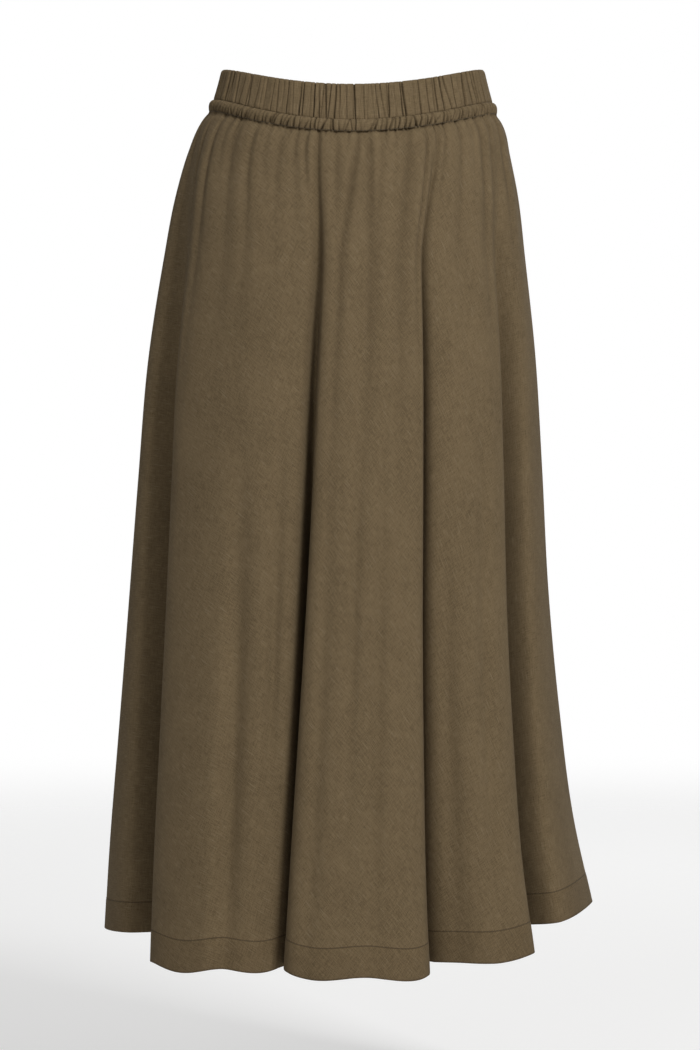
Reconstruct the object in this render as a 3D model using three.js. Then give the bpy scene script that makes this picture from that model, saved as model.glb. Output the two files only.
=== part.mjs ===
// Maxi skirt with a gathered elastic waistband, a narrow ruched casing under it and two wide
// flared panels that hang in deep folds. It keeps its worn shape with nothing inside.
// Sizes are in mm. +X is the viewer's right, -Y the front and +Z up. The origin is the centre
// of the waist opening at half the height of the waistband.
import * as THREE from "three";

// The turn of a point is its angle round the waist: 0 at the centre of the front, 90 at the
// right side seam, 180 at the centre of the back and 270 at the left side seam.
const SEAM_GAP = 0.3;
const FULL_TURN = 360;

const radians = (degrees) => degrees * Math.PI / 180;
const mix = (a, b, share) => a + (b - a) * share;
const clamp01 = (value) => Math.min(1, Math.max(0, value));
const ease = (share) => share * share * (3 - 2 * share);

// Half sizes of the waist ring, where the panels start. The waist sits lower at the centre of
// the front and a little lower at the centre of the back.
const WAIST = { left: 150, right: 152, front: 117, back: 117 };
const WAIST_DIP = { front: 26.5, back: 8 };

function waistDip(turn) {
  const facing = Math.cos(radians(turn));
  return (facing > 0 ? WAIST_DIP.front : WAIST_DIP.back) * facing * facing;
}

// A point on the waist ring moved out by the given distance, at the height of the side seams.
function waistPoint(turn, out, height) {
  const across = Math.sin(radians(turn));
  const along = -Math.cos(radians(turn));
  const halfWidth = (across < 0 ? WAIST.left : WAIST.right) + out;
  const halfDepth = (along < 0 ? WAIST.front : WAIST.back) + out;
  return [halfWidth * across, halfDepth * along, height - waistDip(turn)];
}

// Repeatable variation between -1 and 1 for the given number.
function variation(seed) {
  const wave = Math.sin(seed * 12.9898) * 43758.5453;
  return 2 * (wave - Math.floor(wave)) - 1;
}

function meshFrom(name, points, triangles, color) {
  const geometry = new THREE.BufferGeometry();
  geometry.setAttribute("position", new THREE.Float32BufferAttribute(points.flat(), 3));
  geometry.setIndex(triangles.flat());
  geometry.computeVertexNormals();
  const material = new THREE.MeshStandardMaterial({ color, roughness: 0.9 });
  const mesh = new THREE.Mesh(geometry, material);
  mesh.name = name;
  return mesh;
}

// A closed ring: each column is the same closed section, listed from the outside bottom up over
// the top and down the inside.
function ringMesh(name, columns, color) {
  const across = columns[0].length;
  const index = (column, place) => (column % columns.length) * across + place % across;
  const triangles = [];
  for (let column = 0; column < columns.length; column += 1) {
    for (let place = 0; place < across; place += 1) {
      const a = index(column, place);
      const b = index(column + 1, place);
      const c = index(column + 1, place + 1);
      const d = index(column, place + 1);
      triangles.push([a, b, c], [a, c, d]);
    }
  }
  return meshFrom(name, columns.flat(), triangles, color);
}

// An open strip of wall between an outer and an inner grid, both listed from the top row down.
function wallMesh(name, outer, inner, color) {
  const rows = outer.length;
  const columns = outer[0].length;
  const outside = (row, column) => row * columns + column;
  const inside = (row, column) => rows * columns + row * columns + column;
  const triangles = [];
  const quad = (a, b, c, d) => triangles.push([a, b, c], [a, c, d]);
  for (let row = 0; row + 1 < rows; row += 1) {
    for (let column = 0; column + 1 < columns; column += 1) {
      quad(outside(row + 1, column), outside(row + 1, column + 1),
        outside(row, column + 1), outside(row, column));
      quad(inside(row, column), inside(row, column + 1),
        inside(row + 1, column + 1), inside(row + 1, column));
    }
    quad(outside(row, 0), inside(row, 0), inside(row + 1, 0), outside(row + 1, 0));
    const last = columns - 1;
    quad(outside(row + 1, last), inside(row + 1, last), inside(row, last), outside(row, last));
  }
  for (let column = 0; column + 1 < columns; column += 1) {
    quad(outside(0, column), outside(0, column + 1), inside(0, column + 1), inside(0, column));
    const low = rows - 1;
    quad(inside(low, column), inside(low, column + 1),
      outside(low, column + 1), outside(low, column));
  }
  return meshFrom(name, [...outer.flat(), ...inner.flat()], triangles, color);
}

// Waistband: a doubled strip drawn up in narrow upright gathers by the elastic inside it. Each
// gather is a narrow groove beside a wider ridge.
const BAND_GATHERS = 100;
const BAND_GROOVE = 1.5;
const BAND_GROOVE_SHARE = 0.3;
const BAND_RIDGE_RISE = 0.35;
const BAND_UNEVEN = 0.16;
const BAND_SECTION = [
  // height, out from the waist ring
  { height: -18.0, out: -6.5 },
  { height: 0.0, out: -10.3 },
  { height: 18.2, out: -14.2 },
  { height: 20.0, out: -15.6 },
  { height: 18.2, out: -17.0 },
  { height: -18.0, out: -9.3 },
];

// A ring of gathers. Each has three columns: the groove, the start of its ridge and the ridge's
// far end. lift raises a column, and slant leans the gathers by that many degrees a millimetre.
const GROOVE = 0;
const RIDGE_END_SHARE = 0.72;

function gatheredRing(name, section, gathers, grooveShare, uneven, lift, slant, color) {
  const pitch = FULL_TURN / gathers;
  const columns = [];
  for (let gather = 0; gather < gathers; gather += 1) {
    const start = (gather + uneven * variation(gather)) * pitch;
    const end = (gather + 1 + uneven * variation((gather + 1) % gathers)) * pitch;
    const places = [start, mix(start, end, grooveShare), mix(start, end, RIDGE_END_SHARE)];
    places.forEach((turn, place) => {
      columns.push(section.map(({ height, out }) => {
        const leaning = turn + slant * height;
        return waistPoint(leaning, out + lift(place, gather), height);
      }));
    });
  }
  return ringMesh(name, columns, color);
}

function waistband(color) {
  const lift = (place, gather) => {
    return place === GROOVE ? -BAND_GROOVE : BAND_RIDGE_RISE * variation(gather + 0.5);
  };
  return gatheredRing("waistband", BAND_SECTION, BAND_GATHERS, BAND_GROOVE_SHARE, BAND_UNEVEN,
    lift, 0, color);
}

// Casing: a narrow puffed strip between the waistband and the panels, ruched by a cord or a
// narrow elastic, so its grooves lean to one side.
const CASING_GATHERS = 64;
const CASING_GROOVE = 1.1;
const CASING_GROOVE_SHARE = 0.35;
const CASING_UNEVEN = 0.14;
const CASING_LEAN = 0.12;
const CASING_RIDGE_RISE = 0.3;
const CASING_SECTION = [
  { height: -29.7, out: -0.6 },
  { height: -26.4, out: 0.9 },
  { height: -21.4, out: 0.7 },
  { height: -18.3, out: -3.2 },
  { height: -18.3, out: -8.6 },
  { height: -29.7, out: -5.4 },
];

function casing(color) {
  const lift = (place, gather) => {
    return place === GROOVE ? -CASING_GROOVE : CASING_RIDGE_RISE * variation(gather + 0.25);
  };
  return gatheredRing("casing", CASING_SECTION, CASING_GATHERS, CASING_GROOVE_SHARE, CASING_UNEVEN,
    lift, CASING_LEAN, color);
}

// Panels: two quarter-circle pieces, gathered at the waist and sewn together at the side seams.
// A ring of the skirt at a share of its fall, 0 at the waist and 1 at the hem, runs through four
// knots a fold. A knot goes from its turn at the waist to its place at the hem, and the outline
// of the rings widens as in this table of half sizes.
const PANEL_TOP = -30;
const PANEL_WALL = 1.6;
const HEM_WALL = 3.0;
const HEM_SHARE = 0.964;
const HEM_STEP = 0.002;
const OUTLINE = [
  { share: 0.00, left: 150, right: 152, front: 117, back: 117 },
  { share: 0.02, left: 160, right: 159, front: 124, back: 125 },
  { share: 0.05, left: 170, right: 164, front: 130, back: 133 },
  { share: 0.10, left: 182, right: 172, front: 140, back: 144 },
  { share: 0.18, left: 195, right: 180, front: 151, back: 155 },
  { share: 0.30, left: 211, right: 191, front: 163, back: 166 },
  { share: 0.45, left: 222, right: 199, front: 178, back: 179 },
  { share: 0.60, left: 232, right: 206, front: 193, back: 192 },
  { share: 0.75, left: 242, right: 218, front: 210, back: 204 },
  { share: 0.90, left: 252, right: 235, front: 227, back: 220 },
  { share: 1.00, left: 257, right: 254, front: 240, back: 232 },
];

// Each knot is [hem x, hem y, hem z, turn at the waist]. Names are for the reader. A valley lies between two folds: the
// wall goes in from before to floor and comes out again to after, and crown is the next fold.
const FOLDS = [
  { name: "left side",
    before: [-226, -80, -868, -86], floor: [-130, -30, -872, -77],
    after: [-201, -142, -888, -64], crown: [-141, -205, -889, -39] },
  { name: "left front",
    before: [-72, -190, -887, -17.5], floor: [-49, -104, -880, -12.5],
    after: [-63, -222, -888, -8], crown: [-4, -240, -892, 8] },
  { name: "right front",
    before: [73, -218, -891, 29.5], floor: [52, -104, -880, 31.5],
    after: [81, -178, -885, 34.5], crown: [136, -196, -880, 46] },
  { name: "right side",
    before: [180, -170, -877, 61], floor: [124, -50, -862, 67],
    after: [207, -126, -848, 74], crown: [250, 12, -844, 90] },
  { name: "right back side",
    before: [218, 96, -850, 103], floor: [116, 52, -858, 115],
    after: [182, 160, -866, 126], crown: [136, 196, -872, 142] },
  { name: "right back",
    before: [82, 178, -874, 153], floor: [48, 68, -870, 156],
    after: [70, 216, -878, 159], crown: [0, 230, -880, 179] },
  { name: "left back",
    before: [-76, 214, -878, 199], floor: [-50, 66, -872, 202],
    after: [-88, 172, -874, 205], crown: [-142, 196, -876, 220] },
  { name: "left back side",
    before: [-186, 158, -874, 235], floor: [-116, 52, -868, 246],
    after: [-220, 94, -868, 257], crown: [-257, 8, -870, 270] },
];
const KNOTS = FOLDS.flatMap(({ before, floor, after, crown }) => [before, floor, after, crown])
  .map(([x, y, z, turn]) => ({ x, y, z, turn }));
const KNOTS_A_FOLD = 4;
const RIGHT_SEAM_KNOT = 4 * KNOTS_A_FOLD - 1;
const LEFT_SEAM_KNOT = 8 * KNOTS_A_FOLD - 1;

// Below the waist the hips spread the skirt sideways, which draws the lines in the front and
// back towards the centre by this angle at most.
const HIP_SQUEEZE = 7.5;
const HIP_SHARE = 0.18;

// Gathers at the top of the panels: their distance round the waist, the first one's turn, and
// their half height at shares of the fall.
const PANEL_GATHERS = 36;
const FIRST_GATHER = -12.4;
const GATHER_HEIGHTS = [
  { share: 0.00, height: 1.0 },
  { share: 0.03, height: 2.4 },
  { share: 0.08, height: 1.5 },
  { share: 0.17, height: 0.0 },
  { share: 1.00, height: 0.0 },
];

const PANEL_ROWS = [0, 0.012, 0.035, 0.07, 0.115, 0.17, 0.25, 0.36, 0.49, 0.63, 0.77, 0.9,
  HEM_SHARE - HEM_STEP, HEM_SHARE, 1];
const TURN_A_COLUMN = 2.1;
const FEWEST_STEPS = 3;

// The value of one column of a table at a share, on a smooth curve through its rows.
function tableValue(table, key, share) {
  let row = 0;
  while (row + 2 < table.length && share > table[row + 1].share) {
    row += 1;
  }
  const slope = (at) => {
    const low = table[Math.max(at - 1, 0)];
    const high = table[Math.min(at + 1, table.length - 1)];
    return (high[key] - low[key]) / (high.share - low.share);
  };
  const low = table[row];
  const high = table[row + 1];
  const span = high.share - low.share;
  const t = clamp01((share - low.share) / span);
  const rise = slope(row) * span * t * (1 - t) ** 2 - slope(row + 1) * span * t * t * (1 - t);
  return mix(low[key], high[key], ease(t)) + rise;
}

// Where each knot is on the ring at a share of the fall, with the height of its hem.
function knotsAt(share) {
  const hem = OUTLINE[OUTLINE.length - 1];
  const size = Object.fromEntries(["left", "right", "front", "back"]
    .map((key) => [key, tableValue(OUTLINE, key, share)]));
  return KNOTS.map((knot) => {
    const hemAcross = knot.x / (knot.x < 0 ? hem.left : hem.right);
    const hemAlong = knot.y / (knot.y < 0 ? hem.front : hem.back);
    const hemReach = Math.hypot(hemAcross, hemAlong);
    const squeeze = HIP_SQUEEZE * ease(clamp01(share / HIP_SHARE));
    const turn = radians(knot.turn - squeeze * Math.sin(radians(2 * knot.turn)));
    const across = mix(Math.sin(turn), hemAcross, share);
    const along = mix(-Math.cos(turn), hemAlong, share);
    const reach = mix(1, hemReach, share) / Math.hypot(across, along);
    return [
      across * reach * (across < 0 ? size.left : size.right),
      along * reach * (along < 0 ? size.front : size.back),
      knot.z,
    ];
  });
}

// One step of the closed centripetal Catmull-Rom curve through the knots, from knot number
// place at t = 0 to the next one at t = 1.
function curvePoint(knots, place, t) {
  const at = (offset) => knots[(place + offset + knots.length) % knots.length];
  const [p0, p1, p2, p3] = [at(-1), at(0), at(1), at(2)];
  const root = (a, b) => Math.sqrt(Math.hypot(b[0] - a[0], b[1] - a[1]));
  const d01 = root(p0, p1);
  const d12 = root(p1, p2);
  const d23 = root(p2, p3);
  return [0, 1, 2].map((axis) => {
    const step01 = p1[axis] - p0[axis];
    const step12 = p2[axis] - p1[axis];
    const step23 = p3[axis] - p2[axis];
    const slope1 = d12 * (step01 / d01 - (step01 + step12) / (d01 + d12)) + step12;
    const slope2 = step12 - d12 * (step12 + step23) / (d12 + d23) + d12 * step23 / d23;
    return mix(p1[axis], p2[axis], ease(t)) + slope1 * t * (1 - t) ** 2 - slope2 * t * t * (1 - t);
  });
}

// The columns from one seam knot to the next: which span each lies in, how far along it, its
// turn at the waist and the height where it starts under the casing.
function columnsBetween(firstKnot, lastKnot) {
  const columns = [];
  const waistKnots = knotsAt(0);
  for (let knot = firstKnot; knot !== lastKnot; knot = (knot + 1) % KNOTS.length) {
    const next = (knot + 1) % KNOTS.length;
    const span = (KNOTS[next].turn - KNOTS[knot].turn + FULL_TURN) % FULL_TURN;
    const steps = Math.max(FEWEST_STEPS, Math.round(span / TURN_A_COLUMN));
    for (let step = 0; step < steps; step += 1) {
      columns.push({ knot, t: step / steps, turn: KNOTS[knot].turn + span * step / steps });
    }
  }
  columns.push({ knot: lastKnot, t: 0, turn: KNOTS[lastKnot].turn });
  return columns.map((column) => {
    const [x, y] = curvePoint(waistKnots, column.knot, column.t);
    const across = x / (x < 0 ? WAIST.left : WAIST.right);
    const along = y / (y < 0 ? WAIST.front : WAIST.back);
    const turn = Math.atan2(across, -along) * 180 / Math.PI;
    return { ...column, top: PANEL_TOP - waistDip(turn) };
  });
}

// The outer and inner grids of the panel from one seam to the next. The wall goes inwards from
// the outer grid, square to the ring, and is doubled by the turned-up hem. NUDGE is the short
// way along the curve that gives its direction.
const NUDGE = 0.02;

function panel(name, firstKnot, lastKnot, seamSide, color) {
  const columns = columnsBetween(firstKnot, lastKnot);
  const pitch = FULL_TURN / PANEL_GATHERS;
  const outer = [];
  const inner = [];
  PANEL_ROWS.forEach((share) => {
    const knots = knotsAt(share);
    const gather = tableValue(GATHER_HEIGHTS, "height", share);
    const wall = share < HEM_SHARE ? PANEL_WALL : HEM_WALL;
    const outerRow = [];
    const innerRow = [];
    columns.forEach(({ knot, t, turn, top }, column) => {
      const [x, y, hemZ] = curvePoint(knots, knot, t);
      const z = mix(top, hemZ, share);
      const ahead = curvePoint(knots, knot, t + NUDGE);
      const behind = curvePoint(knots, knot, t - NUDGE);
      const length = Math.hypot(ahead[0] - behind[0], ahead[1] - behind[1]);
      const outX = (ahead[1] - behind[1]) / length;
      const outY = -(ahead[0] - behind[0]) / length;
      const atSeam = column === 0 || column === columns.length - 1;
      const phase = radians(FULL_TURN * (turn - FIRST_GATHER) / pitch);
      const lift = atSeam ? 0 : -gather * Math.cos(phase);
      const seamShift = atSeam ? seamSide * SEAM_GAP / 2 : 0;
      outerRow.push([x + outX * lift, y + outY * lift + seamShift, z]);
      innerRow.push([x + outX * (lift - wall), y + outY * (lift - wall) + seamShift, z]);
    });
    outer.push(outerRow);
    inner.push(innerRow);
  });
  return wallMesh(name, outer, inner, color);
}

const CLOTH = 0x5e5138;
const CLOTH_BAND = 0x5b4e36;
const part = new THREE.Group();
part.add(waistband(CLOTH_BAND));
part.add(casing(CLOTH_BAND));
part.add(panel("skirt_front", LEFT_SEAM_KNOT, RIGHT_SEAM_KNOT, -1, CLOTH));
part.add(panel("skirt_back", RIGHT_SEAM_KNOT, LEFT_SEAM_KNOT, 1, CLOTH));

export default part;
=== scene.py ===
import math
import bpy
import numpy as np
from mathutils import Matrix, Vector


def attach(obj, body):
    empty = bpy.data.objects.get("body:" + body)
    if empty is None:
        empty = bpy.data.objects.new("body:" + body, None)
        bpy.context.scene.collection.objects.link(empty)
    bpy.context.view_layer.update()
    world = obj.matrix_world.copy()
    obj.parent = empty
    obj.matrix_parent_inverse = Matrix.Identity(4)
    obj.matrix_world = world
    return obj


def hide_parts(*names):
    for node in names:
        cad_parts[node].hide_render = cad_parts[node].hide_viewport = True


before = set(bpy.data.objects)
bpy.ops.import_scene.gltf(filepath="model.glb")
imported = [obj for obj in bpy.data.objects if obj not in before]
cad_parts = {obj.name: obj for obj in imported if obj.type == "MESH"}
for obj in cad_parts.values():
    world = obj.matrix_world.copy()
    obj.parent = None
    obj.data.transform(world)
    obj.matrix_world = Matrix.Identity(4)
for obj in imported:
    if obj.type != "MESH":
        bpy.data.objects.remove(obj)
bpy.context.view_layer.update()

# Camera. It stands level with the middle of the skirt, straight in front of it and 3.4 m away,
# with a long lens, so the waist opening and the hem are both seen almost edge on.
CAMERA_PLACE = (-0.002, -3.4, -0.452)
CAMERA_LENS = 112.1
camera_data = bpy.data.cameras.new("camera")
camera_data.lens = CAMERA_LENS
camera_data.sensor_width = 36
camera = bpy.data.objects.new("camera", camera_data)
camera.location = CAMERA_PLACE
camera.rotation_euler = (math.pi / 2, 0, 0)
bpy.context.scene.collection.objects.link(camera)
bpy.context.scene.camera = camera

# Waistband. A doubled strip of the skirt's own cloth, 38 mm high, folded over at the top edge and
# drawn up by the elastic inside it into narrow upright grooves with flatter ridges between them.
MM = 0.001
WAIST = {"left": 150.0, "right": 152.0, "front": 117.0, "back": 117.0}
DIP_FRONT = 26.5
DIP_BACK = 8.0
BAND_SECTION = np.array([
    # height, out from the waist ring (mm), share of the gathers' depth
    (-17.9, -6.9, 0.35), (-16.8, -6.4, 0.7), (-15.0, -6.7, 1.0), (-12.0, -7.4, 1.0),
    (-8.0, -8.4, 1.0), (-4.0, -9.4, 1.0), (0.0, -10.3, 1.0), (4.0, -11.2, 1.0),
    (8.0, -12.1, 1.0), (12.0, -12.9, 1.0), (15.0, -13.5, 1.0), (17.4, -14.0, 0.8),
    (18.9, -14.5, 0.5), (19.7, -15.3, 0.25), (19.6, -16.2, 0.25), (18.8, -17.0, 0.45),
    (16.5, -17.2, 0.7), (8.0, -15.5, 0.9), (-2.0, -13.0, 0.9), (-12.0, -10.6, 0.8),
    (-17.9, -9.2, 0.4)])
BAND_COLUMNS = 2880
BAND_GATHERS = 132
BAND_CROWDING = -11.0
BAND_EDGE = 18.0
BAND_ROLL = {"above": 17.0, "share": 0.25}
BAND_FULLNESS = 1.3
BAND_RADIUS = 0.144
# Groove depth (mm) at which the painted shade in the band's grooves is full.
BAND_PAINTED_SHADE_DEPTH = 3.2
SIDE_RISE = {"left": 6.5, "right": 3.5}


def side_rise(across, height):
    """How far a point stands higher towards the sides: the side's own rise times the squared sine
    of the turn, growing from nothing at the band's top edge to all of it at its bottom edge."""
    most = np.where(across < 0, SIDE_RISE["left"], SIDE_RISE["right"])
    return most * across ** 2 * np.clip((BAND_EDGE - height) / (2 * BAND_EDGE), 0, 1)


def waist_point(turn, out, height):
    """Points on the waist ring: an ellipse whose left, right, front and back half sizes grow by
    out, with the height lowered by the squared cosine of the turn, more in front than behind,
    and raised by the side rise."""
    across = np.sin(np.radians(turn))
    along = -np.cos(np.radians(turn))
    half_width = np.where(across < 0, WAIST["left"], WAIST["right"]) + out
    half_depth = np.where(along < 0, WAIST["front"], WAIST["back"]) + out
    dip = np.where(along < 0, DIP_FRONT, DIP_BACK) * along ** 2
    return np.stack([half_width * across, half_depth * along, height - dip + side_rise(across, height)],
                    axis=-1)


def turn_apart(turn, line):
    """Angle from a line to each point, brought between -180 and 180 degrees."""
    return (turn - line + 180) % 360 - 180


def gathers(turn, height, lines):
    """Depth of sewn gathers: each line is a groove with a bell-shaped section whose middle
    wanders with the height; the depths of all lines are added up."""
    depth = np.zeros(np.broadcast(turn, height).shape)
    for line in lines:
        middle = line["turn"] + line["lean"] * height + line["bow"] * np.sin(height * line["wave"])
        across = turn_apart(turn, middle) / line["width"]
        along = 1 + line["fade"] * height
        depth = depth + line["depth"] * np.clip(along, 0.0, 1.3) * np.exp(-across ** 2)
    return depth


def painted_shade_map(shade):
    """The share of painted shade at each point, kept between 0 and 1, as the first of two map values.
    """
    share = np.clip(shade, 0, 1)
    return np.stack([share, 0 * share], axis=-1)


def grid_faces(rows, columns, around=False, closed=False):
    """Quads of a grid of points listed row by row. The columns join up when around is set, and
    so do the rows when closed is set."""
    row = np.arange(rows if closed else rows - 1)[:, None]
    column = np.arange(columns if around else columns - 1)[None, :]
    below = (row + 1) % rows
    beside = (column + 1) % columns
    quads = [row * columns + column, row * columns + beside,
             below * columns + beside, below * columns + column]
    return np.stack(np.broadcast_arrays(*quads), axis=-1).reshape(-1, 4)


def cloth_piece(name, points, faces, maps, material):
    """A mesh object from an array of points in mm and an array of quads, smooth shaded, with a
    UV map for each named array of two values a point."""
    mesh = bpy.data.meshes.new(name)
    mesh.from_pydata(points.reshape(-1, 3) * MM, [], faces)
    mesh.shade_smooth()
    corners = faces.reshape(-1)
    for map_name, values in maps.items():
        layer = mesh.uv_layers.new(name=map_name)
        layer.uv.foreach_set("vector", values.reshape(-1, 2)[corners].astype(np.float32).ravel())
    mesh.materials.append(material)
    piece = bpy.data.objects.new(name, mesh)
    bpy.context.scene.collection.objects.link(piece)
    return piece


def socket_group(name, inputs, outputs):
    """An empty shader node group with number or vector inputs and outputs of these names."""
    group = bpy.data.node_groups.new(name, "ShaderNodeTree")
    for label, kind, value in inputs:
        socket = group.interface.new_socket(name=label, in_out="INPUT", socket_type=kind)
        if value is not None:
            socket.default_value = value
    for label, kind in outputs:
        group.interface.new_socket(name=label, in_out="OUTPUT", socket_type=kind)
    return group, group.nodes.new("NodeGroupInput"), group.nodes.new("NodeGroupOutput")


def maths(tree, operation, first, second=None, clamp=False):
    """A Math node of a tree, fed by numbers or sockets; its result."""
    node = tree.nodes.new("ShaderNodeMath")
    node.operation = operation
    node.use_clamp = clamp
    for socket, value in zip(node.inputs, (first, second)):
        if isinstance(value, bpy.types.NodeSocket):
            tree.links.new(value, socket)
        elif value is not None:
            socket.default_value = value
    return node.outputs[0]


def streaks(tree, place, stretch, detail, low, high):
    """Noise on the cloth's own map, stretched by a factor each way, from 0 at low to 1 at high."""
    scaled = tree.nodes.new("ShaderNodeMapping")
    scaled.inputs["Scale"].default_value = (*stretch, 1)
    tree.links.new(place, scaled.inputs["Vector"])
    noise = tree.nodes.new("ShaderNodeTexNoise")
    noise.noise_dimensions = "2D"
    noise.inputs["Scale"].default_value = 1.0
    noise.inputs["Detail"].default_value = detail
    tree.links.new(scaled.outputs[0], noise.inputs["Vector"])
    spread = tree.nodes.new("ShaderNodeMapRange")
    spread.inputs["From Min"].default_value = low
    spread.inputs["From Max"].default_value = high
    tree.links.new(noise.outputs["Fac"], spread.inputs["Value"])
    return spread.outputs[0]


# Woven cloth: streaks along both threads, the lengthwise ones stronger, a fine weave, a fuzz of
# fibres, a few pale slubs and a slow change of tone. Cloth place is in metres, with u along the
# stronger threads.
weave, weave_in, weave_out = socket_group(
    "woven_threads",
    [("Cloth place", "NodeSocketVector", None), ("Threads a metre", "NodeSocketFloat", 1500.0)],
    [("Tone", "NodeSocketFloat"), ("Slub", "NodeSocketFloat"), ("Height", "NodeSocketFloat")])
cloth_place = weave_in.outputs["Cloth place"]
long_streak = streaks(weave, cloth_place, (85, 1000), 3.0, 0.3, 0.7)
cross_streak = streaks(weave, cloth_place, (930, 85), 3.0, 0.3, 0.7)
fuzz = streaks(weave, cloth_place, (860, 900), 1.0, 0.25, 0.75)
patches = streaks(weave, cloth_place, (14, 20), 4.0, 0.3, 0.7)
slub = streaks(weave, cloth_place, (50, 900), 1.0, 0.69, 0.77)
axes = weave.nodes.new("ShaderNodeSeparateXYZ")
weave.links.new(cloth_place, axes.inputs[0])
half_turns = maths(weave, "MULTIPLY", weave_in.outputs["Threads a metre"], math.pi)
warp = maths(weave, "SINE", maths(weave, "MULTIPLY", axes.outputs["X"], half_turns))
weft = maths(weave, "SINE", maths(weave, "MULTIPLY", axes.outputs["Y"], half_turns))
crossing = maths(weave, "MULTIPLY_ADD", maths(weave, "MULTIPLY", warp, weft), 0.5)
weave.links.new(crossing, weave_out.inputs["Height"])
tone = maths(weave, "MULTIPLY", long_streak, 0.32)
tone = maths(weave, "ADD", tone, maths(weave, "MULTIPLY", cross_streak, 0.27))
tone = maths(weave, "ADD", tone, maths(weave, "MULTIPLY", patches, 0.13))
tone = maths(weave, "ADD", tone, maths(weave, "MULTIPLY", fuzz, 0.28))
weave.links.new(tone, weave_out.inputs["Tone"])
weave.links.new(slub, weave_out.inputs["Slub"])


def cloth_material(name, dark, light, slub_tone, bump, hem=False):
    """Woven cloth between a dark and a light tone, with paler slubs, a matt sheen and the weave as
    bump. A second UV map gives the share of painted shade at each point, which darkens the colour
    where creases, grooves and lips hold shade. With hem set, the turned-up hem shows through as
    painted shade, darker where the cloth is doubled, and its stitch line shows through, at the
    height above the hem's edge that the second value of the map hem_place gives in metres."""
    material = bpy.data.materials.new(name)
    material.use_nodes = True
    tree = material.node_tree
    shader = tree.nodes["Principled BSDF"]
    shader.inputs["Roughness"].default_value = 0.86
    shader.inputs["Specular IOR Level"].default_value = 0.22
    shader.inputs["Sheen Weight"].default_value = 0.03
    shader.inputs["Sheen Roughness"].default_value = 0.5
    shader.inputs["Sheen Tint"].default_value = (0.8, 0.74, 0.6, 1)
    place = tree.nodes.new("ShaderNodeUVMap")
    place.uv_map = "cloth_place"
    threads = tree.nodes.new("ShaderNodeGroup")
    threads.node_tree = weave
    tree.links.new(place.outputs[0], threads.inputs["Cloth place"])
    ramp = tree.nodes.new("ShaderNodeMix")
    ramp.data_type = "RGBA"
    ramp.inputs["A"].default_value = (*dark, 1)
    ramp.inputs["B"].default_value = (*light, 1)
    tree.links.new(threads.outputs["Tone"], ramp.inputs["Factor"])
    slubbed = tree.nodes.new("ShaderNodeMix")
    slubbed.data_type = "RGBA"
    slubbed.inputs["B"].default_value = (*slub_tone, 1)
    slub_share = maths(tree, "MULTIPLY", threads.outputs["Slub"], SLUB_SHARE)
    tree.links.new(slub_share, slubbed.inputs["Factor"])
    tree.links.new(ramp.outputs["Result"], slubbed.inputs["A"])
    # Painted shade: the colour is multiplied towards a dark shade tone by the share the map gives, for
    # the shade in creases, grooves and under lips.
    creases = tree.nodes.new("ShaderNodeUVMap")
    creases.uv_map = "painted_shade_place"
    painted_shade_share = tree.nodes.new("ShaderNodeSeparateXYZ")
    tree.links.new(creases.outputs[0], painted_shade_share.inputs[0])
    painted_shade_mix = tree.nodes.new("ShaderNodeMix")
    painted_shade_mix.data_type = "RGBA"
    painted_shade_mix.blend_type = "MULTIPLY"
    painted_shade_mix.inputs["B"].default_value = (*PAINTED_SHADE_TONE, 1)
    tree.links.new(painted_shade_share.outputs["X"], painted_shade_mix.inputs["Factor"])
    tree.links.new(slubbed.outputs["Result"], painted_shade_mix.inputs["A"])
    color = painted_shade_mix.outputs["Result"]
    height = maths(tree, "ADD", threads.outputs["Height"], threads.outputs["Tone"])
    if hem:
        above_hem = tree.nodes.new("ShaderNodeUVMap")
        above_hem.uv_map = "hem_place"
        rise = tree.nodes.new("ShaderNodeSeparateXYZ")
        tree.links.new(above_hem.outputs[0], rise.inputs[0])
        # Painted shade: the doubled cloth of the turned-up hem is darkened, as less light comes through
        # two layers than through one.
        doubled = maths(tree, "LESS_THAN", rise.outputs["Y"], HEM_HEIGHT * MM)
        painted_hem_shade = tree.nodes.new("ShaderNodeMix")
        painted_hem_shade.data_type = "RGBA"
        painted_hem_shade.blend_type = "MULTIPLY"
        painted_hem_shade.inputs["B"].default_value = (*HEM_SHADE, 1)
        tree.links.new(doubled, painted_hem_shade.inputs["Factor"])
        tree.links.new(color, painted_hem_shade.inputs["A"])
        color = painted_hem_shade.outputs["Result"]
        off_line = maths(tree, "ABSOLUTE", maths(tree, "SUBTRACT", rise.outputs["Y"], HEM_HEIGHT * MM))
        groove = maths(tree, "LESS_THAN", off_line, HEM_STITCH_WIDTH * MM)
        stitched = tree.nodes.new("ShaderNodeMix")
        stitched.data_type = "RGBA"
        stitched.blend_type = "MULTIPLY"
        stitched.inputs["B"].default_value = (*STITCH_LINE_SHADE, 1)
        tree.links.new(groove, stitched.inputs["Factor"])
        tree.links.new(color, stitched.inputs["A"])
        color = stitched.outputs["Result"]
    tree.links.new(color, shader.inputs["Base Color"])
    bumped = tree.nodes.new("ShaderNodeBump")
    bumped.inputs["Strength"].default_value = bump
    bumped.inputs["Distance"].default_value = THREAD_HEIGHT * MM
    tree.links.new(height, bumped.inputs["Height"])
    tree.links.new(bumped.outputs[0], shader.inputs["Normal"])
    return material


CLOTH_DARK = (0.093, 0.064, 0.031)
CLOTH_LIGHT = (0.241, 0.174, 0.094)
CLOTH_SLUB = (0.27, 0.21, 0.13)
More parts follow.
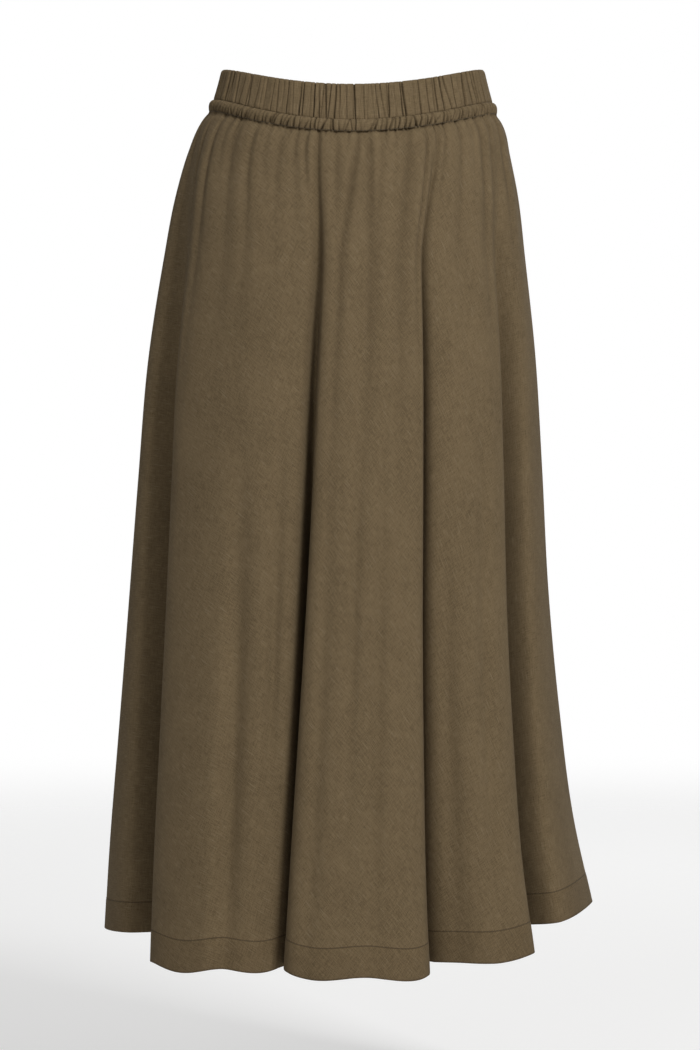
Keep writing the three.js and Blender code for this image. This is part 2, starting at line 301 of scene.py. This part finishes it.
# The dark tone of the painted shade in creases, grooves and under lips.
PAINTED_SHADE_TONE = (0.36, 0.33, 0.30)
HEM_SHADE = (0.93, 0.92, 0.91)
STITCH_LINE_SHADE = (0.62, 0.6, 0.58)
SLUB_SHARE = 0.45
THREAD_HEIGHT = 0.4
HEM_HEIGHT = 31.0
HEM_STITCH_WIDTH = 0.7
band_cloth = cloth_material("band_cloth", CLOTH_DARK, CLOTH_LIGHT, CLOTH_SLUB, 0.6)

draw = np.random.default_rng(17)
band_turns = (np.arange(BAND_GATHERS) + draw.uniform(-0.46, 0.46, BAND_GATHERS)) * 360 / BAND_GATHERS
band_turns += BAND_CROWDING * np.sin(np.radians(2 * band_turns))
band_lines = [
    {"turn": turn, "lean": draw.normal(0, 0.018), "bow": draw.normal(0, 0.22),
     "wave": draw.uniform(0.06, 0.16), "width": draw.uniform(0.14, 0.30) * (1 + 1.2 * side),
     "depth": draw.choice([0.6, 1.2, 2.0, 2.7]) * draw.uniform(0.8, 1.15) * (1 + 0.5 * side),
     "fade": draw.normal(0, 0.012)}
    for turn, side in zip(band_turns, np.sin(np.radians(band_turns)) ** 2)]
band_turn = np.linspace(0, 360, BAND_COLUMNS, endpoint=False)[None, :]
band_height = BAND_SECTION[:, 0:1]
band_depth = gathers(band_turn, band_height, band_lines)
ridge_swell = 0.35 * np.sin(np.radians(band_turn * 41 + 40)) + 0.3 * np.sin(np.radians(band_turn * 67))
band_out = BAND_SECTION[:, 1:2] + (ridge_swell - band_depth) * BAND_SECTION[:, 2:3]
band_sunk = BAND_ROLL["share"] * band_depth * (band_height > BAND_ROLL["above"])
band_points = waist_point(band_turn, band_out, band_height - band_sunk)
along_band = np.radians(band_turn) * BAND_RADIUS * BAND_FULLNESS + 0 * band_height
up_band = np.cumsum(np.r_[0, np.hypot(*np.diff(BAND_SECTION[:, :2], axis=0).T)])[:, None] * MM
band_place = np.stack([up_band + 0 * band_turn, along_band], axis=-1)
# The band's grooves get painted shade, darker the deeper each groove is.
waistband = cloth_piece("waistband_cloth", band_points,
                        grid_faces(len(BAND_SECTION), BAND_COLUMNS, around=True, closed=True)[:, ::-1],
                        {"cloth_place": band_place,
                         "painted_shade_place": painted_shade_map(band_depth / BAND_PAINTED_SHADE_DEPTH)},
                        band_cloth)
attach(waistband, "root")
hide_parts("waistband")

# Casing. A narrow tube of the same cloth between the waistband and the panels, ruched on a thin
# elastic into fine short creases, which lean to the right, most of all on the left half.
CASING_SECTION = np.array([
    # height, out from the waist ring (mm), share of the creases' depth, share of their pinch
    (-30.4, -1.2, 0.6, 0.5), (-29.6, -0.1, 1.0, 0.5), (-27.8, 0.5, 1.1, 0.4),
    (-25.6, 0.7, 1.0, 0.2), (-23.6, 0.7, 0.9, 0.0), (-21.6, 0.4, 0.9, -0.2),
    (-19.8, -0.4, 0.9, -0.35), (-18.4, -1.9, 0.8, -0.4), (-17.4, -4.2, 0.5, -0.3),
    (-18.2, -6.6, 0.2, 0.0), (-18.4, -8.4, 0.2, 0.0), (-24.0, -7.2, 0.3, 0.0),
    (-29.6, -5.6, 0.2, 0.0)])
CASING_MIDDLE = -24
CASING_STAND = 0.2
CASING_RADIUS = 0.15
CASING_FULLNESS = 1.35
# Crease depth (mm) at which the casing's painted shade is full; the lip values place a painted shadow
# along its lower edge.
CASING_PAINTED_SHADE_DEPTH = 3.6
CASING_LIP_PAINTED_SHADOW = {"below": -28.2, "fade": 1.6, "shade": 0.25}
CASING_ROWS = 30
CASING_COLUMNS = 2400
CASING_CREASES = 200
CASING_SIDE_IN = 1.9


def rounded(section, count):
    """A closed section's rows joined by a smooth curve, which leaves each row in the direction of
    its two neighbours, and sampled at an even count of places."""
    place = np.arange(count) * len(section) / count
    first = place.astype(int)
    share = (place - first)[:, None]
    before, start, end, after = (section[(first + step) % len(section)] for step in (-1, 0, 1, 2))
    slope = (end - before) / 2
    bend = before - 2.5 * start + 2 * end - after / 2
    twist = 1.5 * (start - end) + (after - before) / 2
    return start + share * slope + share ** 2 * bend + share ** 3 * twist


creases = []
for index in range(CASING_CREASES):
    turn = (index + draw.uniform(-0.42, 0.42)) * 360 / CASING_CREASES
    to_right = math.sin(math.radians(turn))
    creases.append({"turn": turn, "lean": 0.09 - 0.07 * to_right + draw.normal(0, 0.08),
                    "bow": 0.0, "wave": 0.1, "width": draw.uniform(0.16, 0.42) + 0.25 * to_right ** 2,
                    "depth": draw.uniform(0.3, 2.6) + 0.8 * abs(to_right),
                    "fade": draw.normal(-0.02, 0.05)})
casing_turn = np.linspace(0, 360, CASING_COLUMNS, endpoint=False)[None, :]
casing_section = rounded(CASING_SECTION, CASING_ROWS)
casing_height = casing_section[:, 0:1]
casing_depth = gathers(casing_turn, casing_height - CASING_MIDDLE, creases)
casing_out = casing_section[:, 1:2] - casing_depth * casing_section[:, 2:3]
casing_out = casing_out + CASING_STAND - CASING_SIDE_IN * np.sin(np.radians(casing_turn)) ** 2
casing_pinch = casing_depth * casing_section[:, 3:4]
casing_points = waist_point(casing_turn, casing_out, casing_height + casing_pinch)
# Painted shade in the casing's creases, darker the deeper each crease, and a painted shadow along its
# lower lip.
lip_painted_shadow_share = np.clip((CASING_LIP_PAINTED_SHADOW["below"] - casing_height) / CASING_LIP_PAINTED_SHADOW["fade"], 0, 1)
casing_painted_shade = casing_depth / CASING_PAINTED_SHADE_DEPTH + CASING_LIP_PAINTED_SHADOW["shade"] * lip_painted_shadow_share
up_casing = np.cumsum(np.r_[0, np.hypot(*np.diff(casing_section[:, :2], axis=0).T)])[:, None] * MM
along_casing = np.radians(casing_turn) * CASING_RADIUS * CASING_FULLNESS + 0 * casing_height
casing_place = np.stack([up_casing + 0 * casing_turn, along_casing], axis=-1)
casing = cloth_piece("casing_cloth", casing_points,
                     grid_faces(CASING_ROWS, CASING_COLUMNS, around=True, closed=True)[:, ::-1],
                     {"cloth_place": casing_place, "painted_shade_place": painted_shade_map(casing_painted_shade)},
                     band_cloth)
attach(casing, "root")
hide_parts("casing")

# Panels. Front and back are each a quarter circle of cloth, cut with a radius of 330 mm at the
# waist and 850 mm long, gathered into the casing and sewn together at the side seams. They hang
# in eight deep folds. A ring at a share of the fall runs through four knots a fold; each knot
# goes straight from its turn at the waist to its place at the hem, inside a widening outline.
PANEL_TOP = -30.0
PANEL_LENGTH = 850.0
CUT_RADIUS = 330.0
CLOTH_THICKNESS = 0.6
OUTLINE = np.array([
    # share, left, right, front, back half sizes (mm)
    (0.00, 150, 152, 117, 117), (0.02, 160, 159, 124, 125), (0.05, 170, 164, 130, 133),
    (0.10, 182, 172, 140, 144), (0.18, 195, 180, 151, 155), (0.30, 211, 191, 163, 166),
    (0.45, 222, 199, 178, 179), (0.60, 232, 206, 193, 192), (0.75, 242, 218, 210, 204),
    (0.90, 252, 235, 227, 220), (1.00, 257, 254, 240, 232)])
KNOTS = np.array([
    # hem x, hem y, hem z (mm), turn at the waist: into a valley, its floor, out of it, next crown
    (-226, -80, -868, -86), (-130, -30, -872, -77),
    (-201, -142, -888, -64), (-141, -205, -889, -39),
    (-72, -190, -887, -17.5), (-49, -104, -880, -12.5),
    (-63, -222, -888, -8), (-4, -240, -892, 8),
    (73, -218, -891, 29.5), (52, -104, -880, 31.5),
    (81, -178, -885, 34.5), (136, -196, -880, 46),
    (180, -170, -877, 61), (124, -50, -862, 67),
    (207, -126, -848, 74), (250, 12, -844, 90),
    (218, 96, -850, 103), (116, 52, -858, 115),
    (182, 160, -866, 126), (136, 196, -872, 142),
    (82, 178, -874, 153), (48, 68, -870, 156),
    (70, 216, -878, 159), (0, 230, -880, 179),
    (-76, 214, -878, 199), (-50, 66, -872, 202),
    (-88, 172, -874, 205), (-142, 196, -876, 220),
    (-186, 158, -874, 235), (-116, 52, -868, 246),
    (-220, 94, -868, 257), (-257, 8, -870, 270)])
RIGHT_SEAM_KNOT = 15
LEFT_SEAM_KNOT = 31
HIP_SQUEEZE = 7.5
HIP_SHARE = 0.18
COLUMNS_A_PANEL = 300
ROW_BANDS = (
    # first share, last share, rows
    (0.0, 0.02, 14), (0.02, 0.12, 30), (0.12, 0.3, 30), (0.3, 0.955, 58), (0.955, 1.0, 16))


def smooth_table(table, place):
    """Every column of a table at each place, on a Hermite curve through its rows whose slopes are
    those between each row's two neighbours."""
    steps, values = table[:, 0], table[:, 1:]
    slopes = np.gradient(values, steps, axis=0)
    row = np.clip(np.searchsorted(steps, place, side="right") - 1, 0, len(steps) - 2)
    span = (steps[row + 1] - steps[row])[:, None]
    t = (place - steps[row])[:, None] / span
    swell = slopes[row] * span * t * (1 - t) ** 2 - slopes[row + 1] * span * t ** 2 * (1 - t)
    return values[row] + (values[row + 1] - values[row]) * t * t * (3 - 2 * t) + swell


def knots_at(share):
    """Where every knot is on the ring at each share: its direction at the waist, drawn to the
    centre by the hips, mixes with its direction at the hem, while its reach goes from 1 to the
    hem's; both are measured against the outline's half sizes."""
    hem_sizes = OUTLINE[-1, 1:]
    hem_across = KNOTS[:, 0] / np.where(KNOTS[:, 0] < 0, hem_sizes[0], hem_sizes[1])
    hem_along = KNOTS[:, 1] / np.where(KNOTS[:, 1] < 0, hem_sizes[2], hem_sizes[3])
    hem_reach = np.hypot(hem_across, hem_along)
    sizes = smooth_table(OUTLINE, share)
    down = share[:, None]
    spread = np.clip(down / HIP_SHARE, 0, 1)
    spread = spread * spread * (3 - 2 * spread)
    turn = np.radians(KNOTS[:, 3] - HIP_SQUEEZE * spread * np.sin(np.radians(2 * KNOTS[:, 3])))
    across = np.sin(turn) + (hem_across - np.sin(turn)) * down
    along = -np.cos(turn) + (hem_along + np.cos(turn)) * down
    reach = (1 + (hem_reach - 1) * down) / np.hypot(across, along)
    x = across * reach * np.where(across < 0, sizes[:, 0:1], sizes[:, 1:2])
    y = along * reach * np.where(along < 0, sizes[:, 2:3], sizes[:, 3:4])
    return np.stack([x, y, np.broadcast_to(KNOTS[:, 2], x.shape)], axis=-1)


def ring_columns(knots, places, shares):
    """Points of the closed centripetal Catmull-Rom curves through the rings of knots, at the
    given knot number and share of the way to the next knot of each column."""
    corner = [knots[:, (places + offset) % len(KNOTS)] for offset in (-1, 0, 1, 2)]
    gaps = [np.sqrt(np.linalg.norm((b - a)[..., :2], axis=-1))[..., None]
            for a, b in zip(corner[:-1], corner[1:])]
    step = [b - a for a, b in zip(corner[:-1], corner[1:])]
    start = gaps[1] * (step[0] / gaps[0] - (step[0] + step[1]) / (gaps[0] + gaps[1])) + step[1]
    end = step[1] - gaps[1] * (step[1] + step[2]) / (gaps[1] + gaps[2]) + gaps[1] * step[2] / gaps[2]
    t = shares[None, :, None]
    swell = start * t * (1 - t) ** 2 - end * t ** 2 * (1 - t)
    return corner[1] + step[1] * t * t * (3 - 2 * t) + swell


rows = np.concatenate([np.linspace(first, last, count, endpoint=False)
                       for first, last, count in ROW_BANDS] + [[1.0]])
knots = knots_at(rows)
places = []
shares = []
turns = []
waist_gap = np.diff(np.r_[KNOTS[:, 3], KNOTS[0, 3] + 360])
hem_gap = np.linalg.norm(np.diff(np.r_[KNOTS[:, :2], KNOTS[:1, :2]], axis=0), axis=1)
weight = waist_gap / waist_gap.sum() + hem_gap / hem_gap.sum()
for knot, steps in enumerate(np.round(weight * COLUMNS_A_PANEL).astype(int)):
    part = np.arange(steps) / steps
    places.append(np.full(steps, knot))
    shares.append(part)
    turns.append(KNOTS[knot, 3] + waist_gap[knot] * part)
places, shares, turns = (np.concatenate(values) for values in (places, shares, turns))
ring = ring_columns(knots, places, shares)
plan = ring[..., :2]
top_turn = np.arctan2(plan[0, :, 0] / np.where(plan[0, :, 0] < 0, WAIST["left"], WAIST["right"]),
                      -plan[0, :, 1] / WAIST["front"])
facing = np.cos(top_turn)
top_height = PANEL_TOP - np.where(facing > 0, DIP_FRONT, DIP_BACK) * facing ** 2
top_height = top_height + side_rise(np.sin(top_turn), PANEL_TOP)

# Relief of the cloth between its big folds. Gathers start as narrow creases at the casing and die
#  out lower down, soft hollows run down the fronts of the folds and small puckers edge the seam.
#  The top edge tucks in under the casing, and the turned-up hem stands out a little and waves.
#  The gathers and puckers also get painted shade, and the top edge a painted shadow from the casing.
GATHER_LINES = np.array([
    # turn at the casing, drift of the turn on the way down, depth, width (degrees), length (mm)
    (-80, -1, 2.6, 1.6, 150), (-69, -1, 3.0, 1.4, 220), (-60, -1, 3.4, 1.3, 240),
    (-54, 2, 1.6, 0.9, 60), (-48, -1, 2.4, 1.6, 150), (-39, -2, 3.6, 1.3, 130),
    (-34, 1, 1.4, 0.8, 50), (-28, -2, 3.0, 1.2, 90), (-23, 2, 1.6, 0.9, 60),
    (-18, 3.5, 3.6, 0.9, 80), (-12.6, 0, 4.2, 1.2, 200), (-5, 1.5, 3.2, 1.3, 110),
    (3.2, -5, 5.4, 1.2, 300), (5.8, 3.5, 5.4, 1.4, 270), (11, 0.5, 3.0, 1.0, 110),
    (20.5, -0.5, 5.0, 1.7, 270), (28.6, -1, 4.8, 1.0, 230), (34.5, -4, 3.4, 1.0, 110),
    (38, -2, 3.0, 1.2, 90), (45, 0.5, 3.4, 1.5, 150), (51, 1, 1.8, 0.9, 70), (56, 1, 4.4, 1.3, 240),
    (63, 1, 4.6, 1.4, 260), (73, 1, 4.0, 1.6, 220), (84, 0, 3.0, 1.6, 150),
    (97, -1, 3.2, 1.6, 170), (108, 2, 3.8, 1.5, 210), (121, -1, 3.4, 1.6, 180),
    (133, 1, 3.2, 1.4, 150), (141, -2, 4.0, 1.5, 230), (151, 1, 3.4, 1.3, 130),
    (169, 2, 3.8, 1.4, 210), (177, -2, 4.4, 1.3, 270), (186, 2, 3.4, 1.3, 170),
    (193, -1, 3.2, 1.4, 130), (210, 1, 3.8, 1.5, 210), (218, -2, 3.4, 1.3, 140),
    (228, 2, 3.8, 1.6, 200), (239, -1, 3.6, 1.5, 170), (250, 1, 3.4, 1.6, 180),
    (262, -1, 3.2, 1.7, 170)])
HOLLOWS = np.array([
    # turn high up, turn low down, first share, last share, depth (mm), width (degrees)
    (-38, -34, 0.30, 1.3, 11.0, 3.6), (-25, -23, 0.30, 0.95, 6.0, 2.2), (15, 14, 0.25, 1.2, 4.5, 2.0),
    (-1, -2, 0.30, 1.2, 4.0, 2.2), (7, 6, 0.2, 0.9, 3.6, 1.6), (39, 40, 0.35, 1.2, 4.0, 2.2),
    (52, 50, 0.25, 1.1, 4.0, 2.0), (137, 136, 0.3, 1.2, 7.0, 2.6), (176, 178, 0.35, 1.2, 5.5, 2.4),
    (190, 189, 0.3, 1.1, 4.5, 2.2), (214, 215, 0.35, 1.2, 6.0, 2.4), (98, 97, 0.4, 1.2, 4.5, 2.6),
    (262, 263, 0.35, 1.2, 4.5, 2.6)])
PUCKERS = 132
RIPPLES = 26
RIPPLE_HEIGHT = 5.0
TOP_TUCK = 1.8
TOP_TUCK_LENGTH = 5.0
TOP_RISE = 1.2
TOP_PAINTED_SHADOW = 0.35
TOP_PAINTED_SHADOW_LENGTH = 2.2
# Depths (mm) at which the painted shade of gathers and of puckers is full.
GATHER_PAINTED_SHADE_DEPTH = 13.0
PUCKER_PAINTED_SHADE_DEPTH = 5.0
HEM_LIFT = 0.35
HEM_WAVE = 2.4
HEM_WAVES = 15
column_turn = turns[None, :]
row_share = rows[:, None]
fall = row_share * PANEL_LENGTH
settle = np.clip(row_share / 0.15, 0, 1)
lift = -TOP_TUCK * np.exp(-(fall / TOP_TUCK_LENGTH) ** 2) + 0 * column_turn
# Painted shadow along the panels' top edge, where the casing shades them; the gathers and puckers below
# add painted shade to it.
shade = TOP_PAINTED_SHADOW * np.exp(-(fall / TOP_PAINTED_SHADOW_LENGTH) ** 2) + 0 * column_turn
for turn, drift, depth, width, length in GATHER_LINES:
    across = turn_apart(column_turn, turn + drift * settle) / (width * (1 + 0.8 * settle))
    fade = np.exp(-(fall / length) ** 2) * (0.55 + 0.45 * np.clip(fall / 14, 0, 1))
    shade = shade + depth / GATHER_PAINTED_SHADE_DEPTH * fade * np.exp(-np.abs(across * 1.5) ** 1.3)
    lift -= depth * fade * (np.exp(-np.abs(across) ** 1.5) - 0.42 * np.exp(-(across / 2.6) ** 2))
for high, low, first, last, depth, width in HOLLOWS:
    middle = high + (low - high) * row_share
    along = np.sin(np.pi * np.clip((row_share - first) / (last - first), 0, 1)) ** 2
    lift -= depth * along * np.exp(-(turn_apart(column_turn, middle) / width) ** 2)
pucker_turn = (np.arange(PUCKERS) + draw.uniform(-0.35, 0.35, PUCKERS)) * 360 / PUCKERS
for turn in pucker_turn:
    across = turn_apart(column_turn, turn) / draw.uniform(0.35, 0.65)
    pucker = draw.uniform(0.5, 2.3) * np.exp(-across ** 2 - (fall / draw.uniform(5, 24)) ** 2)
    lift -= pucker
    shade = shade + pucker / PUCKER_PAINTED_SHADE_DEPTH
for _ in range(RIPPLES):
    wave, start = draw.integers(9, 46), draw.uniform(0, 360)
    swing, phase = draw.uniform(0.6, 3.4), draw.uniform(0, 2 * np.pi)
    ripple = np.cos(np.radians(wave * column_turn + start) + swing * np.sin(3 * row_share + phase))
    size = RIPPLE_HEIGHT / wave ** 1.15
    lift += size * ripple * np.sin(np.pi * row_share ** 0.6) * draw.uniform(0.3, 1)
hem_edge = rows >= 1 - HEM_HEIGHT / PANEL_LENGTH
lift += HEM_LIFT * hem_edge[:, None]

ahead = np.roll(plan, -1, axis=1) - np.roll(plan, 1, axis=1)
outward = np.stack([ahead[..., 1], -ahead[..., 0]], axis=-1)
outward /= np.linalg.norm(outward, axis=-1, keepdims=True)
heights = top_height[None, :] + (ring[..., 2] - top_height[None, :]) * row_share
heights[0] += TOP_RISE
heights -= HEM_WAVE * row_share ** 5 * np.cos(np.radians(HEM_WAVES * column_turn))
skirt_points = np.concatenate([plan + outward * lift[..., None], heights[..., None]], axis=-1)

SEAM_GAP = 0.3
SEAM_ALLOWANCE = 9.0
FRONT_ALLOWANCE = {"depth": 2.7, "direction": -1, "lean": 1.8}
BACK_ALLOWANCE = {"depth": 1.3, "direction": 1, "lean": 0.5}
skirt_cloth = cloth_material("skirt_cloth", CLOTH_DARK, CLOTH_LIGHT, CLOTH_SLUB, 0.7, hem=True)


def panel_grid(first_knot, last_knot, allowance):
    """The panel's columns between two seams, with two more at each end for the seam allowance. It
    turns in by the allowance's depth, runs on by its width times its direction, 1 along its own
    panel or -1 behind the other, and leans in. The flat place is polar: the turn is the share of
    the ring's length times 90 degrees, and the radius grows from the waist cut to the hem."""
    seams = [int(np.flatnonzero((places == knot) & (shares == 0))[0])
             for knot in (first_knot, last_knot)]
    count = (seams[1] - seams[0]) % len(places) + 1
    columns = (seams[0] + np.arange(count)) % len(places)
    points = skirt_points[:, columns].copy()
    panel_shade = np.pad(shade[:, columns], ((0, 0), (2, 2)), mode="edge")
    side = np.stack([outward[:, columns[end]] for end in (0, -1)])
    for end, sign in ((0, 1), (-1, -1)):
        neighbour = points[:, end + sign, :2] - points[:, end, :2]
        points[:, end, :2] += neighbour / np.linalg.norm(neighbour, axis=1)[:, None] * SEAM_GAP / 2
    length = np.linalg.norm(np.diff(points, axis=1)[..., :2], axis=-1)
    run = np.concatenate([np.zeros((len(rows), 1)), np.cumsum(length, axis=1)], axis=1)
    angle = run / run[:, -1:] * np.pi / 2
    flaps = []
    for end, sign in ((0, 1), (-1, -1)):
        back = points[:, end + 2 * sign, :2] - points[:, end, :2]
        back = back / np.linalg.norm(back, axis=1)[:, None]
        back = back * SEAM_ALLOWANCE * allowance["direction"]
        turned = points[:, end].copy()
        turned[:, :2] -= side[end] * allowance["depth"]
        laid = turned.copy()
        laid[:, :2] += back - side[end] * allowance["lean"]
        flaps.append((turned, laid))
    points = np.concatenate([flaps[0][1][:, None], flaps[0][0][:, None], points,
                             flaps[1][0][:, None], flaps[1][1][:, None]], axis=1)
    angle = np.pad(angle, ((0, 0), (2, 2)), mode="reflect", reflect_type="odd")
    radius = (CUT_RADIUS + PANEL_LENGTH * rows[:, None]) * MM
    cloth = np.stack([radius * np.sin(angle), radius * np.cos(angle)], axis=-1)
    rise = (1 - rows[:, None]) * PANEL_LENGTH * MM + 0 * angle
    return points, {"cloth_place": cloth, "hem_place": np.stack([0 * rise, rise], axis=-1),
                    "painted_shade_place": painted_shade_map(panel_shade)}


for name, node, first_knot, last_knot, allowance in (
        ("skirt_front_cloth", "skirt_front", LEFT_SEAM_KNOT, RIGHT_SEAM_KNOT, FRONT_ALLOWANCE),
        ("skirt_back_cloth", "skirt_back", RIGHT_SEAM_KNOT, LEFT_SEAM_KNOT, BACK_ALLOWANCE)):
    points, maps = panel_grid(first_knot, last_knot, allowance)
    panel = cloth_piece(name, points, grid_faces(*points.shape[:2])[:, ::-1],
                        maps, skirt_cloth)
    wall = panel.modifiers.new("thickness", "SOLIDIFY")
    wall.thickness = CLOTH_THICKNESS * MM
    wall.offset = -1
    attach(panel, "root")
    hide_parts(node)

# Sewing. Short thread stitches hold the casing's lower edge to the panels, and a finer row holds
# the turned-up hem on the outside. Both are spun thread in a slightly darker shade.
STITCH_SIDES = 6
CASING_STITCH = {"length": 2.4, "pitch": 3.3, "thickness": 0.34}
HEM_STITCH = {"length": 1.7, "pitch": 3.4, "thickness": 0.22}
STITCH_HEIGHT = -29.5
STITCH_STAND = 0.55
STITCH_SIDE_IN = 2.2
HEM_STITCH_STAND = 0.15
STITCH_RINGS = np.array([
    # share of the length, share of the thickness, share sunk into the cloth
    (0.0, 0.25, 1.0), (0.15, 0.85, 0.5), (0.5, 1.0, 0.25), (0.85, 0.85, 0.5), (1.0, 0.25, 1.0)])

thread = bpy.data.materials.new("sewing_thread")
thread.use_nodes = True
thread_shader = thread.node_tree.nodes["Principled BSDF"]
thread_shader.inputs["Roughness"].default_value = 0.6
thread_place = thread.node_tree.nodes.new("ShaderNodeTexCoord")
twist = thread.node_tree.nodes.new("ShaderNodeTexNoise")
twist.inputs["Scale"].default_value = 1800
thread.node_tree.links.new(thread_place.outputs["Object"], twist.inputs["Vector"])
thread_tone = thread.node_tree.nodes.new("ShaderNodeMix")
thread_tone.data_type = "RGBA"
thread_tone.inputs["A"].default_value = (0.040, 0.030, 0.017, 1)
thread_tone.inputs["B"].default_value = (0.095, 0.072, 0.042, 1)
thread.node_tree.links.new(twist.outputs["Fac"], thread_tone.inputs["Factor"])
thread.node_tree.links.new(thread_tone.outputs["Result"], thread_shader.inputs["Base Color"])


def stitch_row(name, path, outside, size):
    """Stitches along a path of points in mm: each is a tube of a few rings whose middle stands on
    the cloth and whose ends dip into it, laid between points a pitch apart along the path."""
    length = np.linalg.norm(np.diff(path, axis=0), axis=1)
    run = np.r_[0, np.cumsum(length)]
    start = np.arange(0, run[-1] - size["length"], size["pitch"])
    along = start[:, None] + STITCH_RINGS[None, :, 0] * size["length"]
    middle = np.stack([np.interp(along, run, path[:, axis]) for axis in range(3)], axis=-1)
    out = np.stack([np.interp(along, run, outside[:, axis]) for axis in range(3)], axis=-1)
    out /= np.linalg.norm(out, axis=-1, keepdims=True)
    ahead = (middle[:, -1] - middle[:, 0])[:, None]
    ahead = ahead / np.linalg.norm(ahead, axis=-1, keepdims=True)
    side = np.cross(ahead, out)
    angle = np.linspace(0, 2 * np.pi, STITCH_SIDES, endpoint=False)
    radius = STITCH_RINGS[None, :, 1, None, None] * size["thickness"]
    middle = middle - out * STITCH_RINGS[None, :, 2:3] * size["thickness"]
    circle = (np.cos(angle)[:, None] * out[:, :, None, :]
              + np.sin(angle)[:, None] * side[:, :, None, :])
    points = middle[:, :, None, :] + radius * circle
    tube = grid_faces(len(STITCH_RINGS), STITCH_SIDES, around=True)
    step = len(STITCH_RINGS) * STITCH_SIDES
    faces = (np.arange(len(start))[:, None, None] * step + tube[None]).reshape(-1, 4)
    row = cloth_piece(name, points, faces, {}, thread)
    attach(row, "root")
    return row


seam_turn = np.linspace(-90, 270, 1400)
seam_stand = STITCH_STAND - STITCH_SIDE_IN * np.sin(np.radians(seam_turn)) ** 2
seam_path = waist_point(seam_turn, seam_stand, STITCH_HEIGHT)
seam_out = waist_point(seam_turn, seam_stand + 1, STITCH_HEIGHT) - seam_path
stitch_row("casing_stitches", seam_path, seam_out, CASING_STITCH)
hem_share = 1 - HEM_HEIGHT / PANEL_LENGTH
hem_row = int(np.argmin(np.abs(rows - hem_share)))
hem_out = np.concatenate([outward[hem_row], np.zeros((len(places), 1))], axis=1)
stitch_row("hem_stitches", skirt_points[hem_row] + hem_out * HEM_STITCH_STAND, hem_out,
           HEM_STITCH)

# Studio. A pale round floor, lifted a little towards white where it is seen, fades into a white
# surround. A large soft light stands above the right front, a weaker one at the left front and
# one behind, which lights the far side and the floor.
FLOOR_HEIGHT = -1.06
FLOOR_RADIUS = 6.0
FLOOR_FADE = (1.2, 5.5)
FLOOR_LIFT = 0.42
LIGHTS = (
    # name, place, aim, size, watts
    ("key", (1.5, -2.7, 2.1), (0.0, 0.0, -0.2), 0.9, 96.0),
    ("fill", (-1.4, -3.4, 1.0), (0.0, 0.0, -0.3), 1.8, 15.0),
    ("back", (0.6, 2.8, 1.2), (0.0, 0.0, -0.4), 2.0, 26.0),
)
SURROUND_GLOW = 0.26

floor_mesh = bpy.data.meshes.new("floor")
rim = np.linspace(0, 2 * np.pi, 96, endpoint=False)
floor_points = np.stack([np.cos(rim) * FLOOR_RADIUS, np.sin(rim) * FLOOR_RADIUS,
                         np.full(96, FLOOR_HEIGHT)], axis=-1)
floor_mesh.from_pydata(floor_points, [], [list(range(96))])
floor = bpy.data.objects.new("floor", floor_mesh)
bpy.context.scene.collection.objects.link(floor)
floor_finish = bpy.data.materials.new("pale_floor")
floor_finish.use_nodes = True
floor_tree = floor_finish.node_tree
floor_shader = floor_tree.nodes["Principled BSDF"]
floor_shader.inputs["Base Color"].default_value = (0.62, 0.62, 0.62, 1)
floor_shader.inputs["Roughness"].default_value = 0.9
floor_shader.inputs["Emission Color"].default_value = (1, 1, 1, 1)
seen = floor_tree.nodes.new("ShaderNodeLightPath")
floor_tree.links.new(maths(floor_tree, "MULTIPLY", seen.outputs["Is Camera Ray"], FLOOR_LIFT),
                     floor_shader.inputs["Emission Strength"])
floor_place = floor_tree.nodes.new("ShaderNodeTexCoord")
reach = floor_tree.nodes.new("ShaderNodeVectorMath")
reach.operation = "LENGTH"
floor_tree.links.new(floor_place.outputs["Object"], reach.inputs[0])
fading = floor_tree.nodes.new("ShaderNodeMapRange")
fading.interpolation_type = "SMOOTHSTEP"
fading.inputs["From Min"].default_value = FLOOR_FADE[0]
fading.inputs["From Max"].default_value = FLOOR_FADE[1]
fading.inputs["To Min"].default_value = 1.0
fading.inputs["To Max"].default_value = 0.0
floor_tree.links.new(reach.outputs["Value"], fading.inputs["Value"])
floor_tree.links.new(fading.outputs[0], floor_shader.inputs["Alpha"])
floor_mesh.materials.append(floor_finish)

for name, place, aim, size, watts in LIGHTS:
    light = bpy.data.lights.new(name, "AREA")
    light.size = size
    light.energy = watts
    lamp = bpy.data.objects.new(name, light)
    lamp.location = place
    lamp.rotation_euler = (Vector(aim) - Vector(place)).to_track_quat("-Z", "Y").to_euler()
    bpy.context.scene.collection.objects.link(lamp)

surround = bpy.data.worlds.new("surround")
bpy.context.scene.world = surround
surround.use_nodes = True
sky = surround.node_tree
backdrop = sky.nodes["Background"]
backdrop.inputs["Color"].default_value = (1, 1, 1, 1)
backdrop.inputs["Strength"].default_value = 1.0
glow = sky.nodes.new("ShaderNodeBackground")
glow.inputs["Color"].default_value = (1.0, 0.99, 0.97, 1)
glow.inputs["Strength"].default_value = SURROUND_GLOW
ray = sky.nodes.new("ShaderNodeLightPath")
either = sky.nodes.new("ShaderNodeMixShader")
sky.links.new(ray.outputs["Is Camera Ray"], either.inputs[0])
sky.links.new(glow.outputs[0], either.inputs[1])
sky.links.new(backdrop.outputs[0], either.inputs[2])
sky.links.new(either.outputs[0], sky.nodes["World Output"].inputs["Surface"])
bpy.context.scene.view_settings.view_transform = "Standard"
